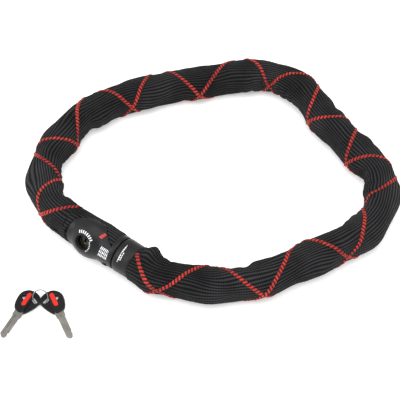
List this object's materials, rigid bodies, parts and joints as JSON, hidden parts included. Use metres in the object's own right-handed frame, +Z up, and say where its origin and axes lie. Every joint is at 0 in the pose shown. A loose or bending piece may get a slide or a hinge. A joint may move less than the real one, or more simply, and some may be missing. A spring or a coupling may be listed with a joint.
{
  "type": "chain lock",
  "caption": "Square-link chain lock in a black knitted sleeve with a barrel key lock, sliding plug, turning cylinder, pawl and keys on a wire ring.",
  "frame": {"origin": "on the floor, under the middle of the whole object as it lies locked with its keys beside it", "axes": "+Z up from the floor; +X along the longest way across the loop; +Y across it, away from the keys"},
  "size_m": [0.3804, 0.3362, 0.041],
  "materials": {
    "case_steel": "satin die-cast steel",
    "rivet_steel": "plain steel",
    "inner_plastic": "black moulded",
    "cover_plastic": "soft-touch black",
    "wrap_fabric": "black ribbed knit",
    "ring_plastic": "black, smooth",
    "cylinder_brass": "machined",
    "bezel_steel": "dark burnished",
    "ferrule_steel": "rolled band",
    "sleeve_fabric": "black ribbed knit with orange-red and black tracer cords",
    "bolt_steel": "polished",
    "collar_plastic": "soft-touch black",
    "core_steel": "dark nickel",
    "wafer_brass": "stamped",
    "pawl_steel": "hardened",
    "ring_steel": "wire",
    "key_steel": "nickel-plated",
    "key_plastic": "black",
    "inlay_plastic": "red",
    "chain_steel": "hardened, zinc-plated"
  },
  "bodies": {
    "lock_body": {"case_front": "case_steel", "case_back": "case_steel", "case_rivets": "rivet_steel", "anchor_pin": "rivet_steel", "barrel_shell": "inner_plastic", "front_cover": "cover_plastic", "lock_wrap": "wrap_fabric", "nose_ring": "ring_plastic", "cylinder_housing": "cylinder_brass", "keyhole_bezel": "bezel_steel", "sleeve_ferrule_lock": "ferrule_steel", "sleeve_fixed_half": "sleeve_fabric", "link_01": "chain_steel", "link_02": "chain_steel", "link_03": "chain_steel", "link_04": "chain_steel", "link_05": "chain_steel"},
    "plug": {"plug_bolt": "bolt_steel", "plug_collar": "collar_plastic", "plug_pin": "rivet_steel", "sleeve_ferrule_plug": "ferrule_steel", "sleeve_plug_half": "sleeve_fabric", "link_06": "chain_steel", "link_07": "chain_steel", "link_08": "chain_steel", "link_09": "chain_steel", "link_10": "chain_steel", "link_11": "chain_steel", "link_12": "chain_steel", "link_13": "chain_steel", "link_14": "chain_steel", "link_15": "chain_steel", "link_16": "chain_steel", "link_17": "chain_steel", "link_18": "chain_steel", "link_19": "chain_steel", "link_20": "chain_steel", "link_21": "chain_steel", "link_22": "chain_steel", "link_23": "chain_steel", "link_24": "chain_steel", "link_25": "chain_steel", "link_26": "chain_steel", "link_27": "chain_steel", "link_28": "chain_steel", "link_29": "chain_steel", "link_30": "chain_steel"},
    "cylinder": {"cylinder_core": "core_steel", "wafers": "wafer_brass"},
    "pawl": {"locking_pawl": "pawl_steel"},
    "ring": {"key_ring": "ring_steel"},
    "key_a": {"key_a_blade": "key_steel", "key_a_bow": "key_plastic", "key_a_inlay": "inlay_plastic"},
    "key_b": {"key_b_blade": "key_steel", "key_b_bow": "key_plastic", "key_b_inlay": "inlay_plastic"}
  },
  "joints": [
    {"name": "plug_slide", "type": "slide", "parent": "lock_body", "child": "plug", "axis": [0.7986, -0.6018, 0], "range_m": [0, 0.028]},
    {"name": "cylinder_turn", "type": "hinge", "parent": "lock_body", "child": "cylinder", "pos_m": [-0.107, -0.066, 0.0195], "axis": [0.5362, 0.7116, -0.454], "range_deg": [0, 90]},
    {"name": "pawl_slide", "type": "slide", "parent": "lock_body", "child": "pawl", "axis": [-0.2732, -0.3626, -0.891], "range_m": [0, 0.0024]},
    {"name": "bunch_lift", "type": "slide", "parent": "lock_body", "child": "ring", "axis": [0, 0, 1], "range_m": [0, 0.06]},
    {"name": "key_a_swing", "type": "hinge", "parent": "ring", "child": "key_a", "pos_m": [-0.1612, -0.12896, 0.00283], "axis": [-0.5, 0.6631, 0.5571], "range_deg": [0, 25]},
    {"name": "key_b_swing", "type": "hinge", "parent": "ring", "child": "key_b", "pos_m": [-0.14908, -0.1288, 0.00297], "axis": [-0.485, -0.67, -0.562], "range_deg": [0, 25]}
  ],
  "couplings": [
    {"joint": "cylinder_turn", "follows": "pawl_slide", "rad_per_m": 654.5}
  ]
}
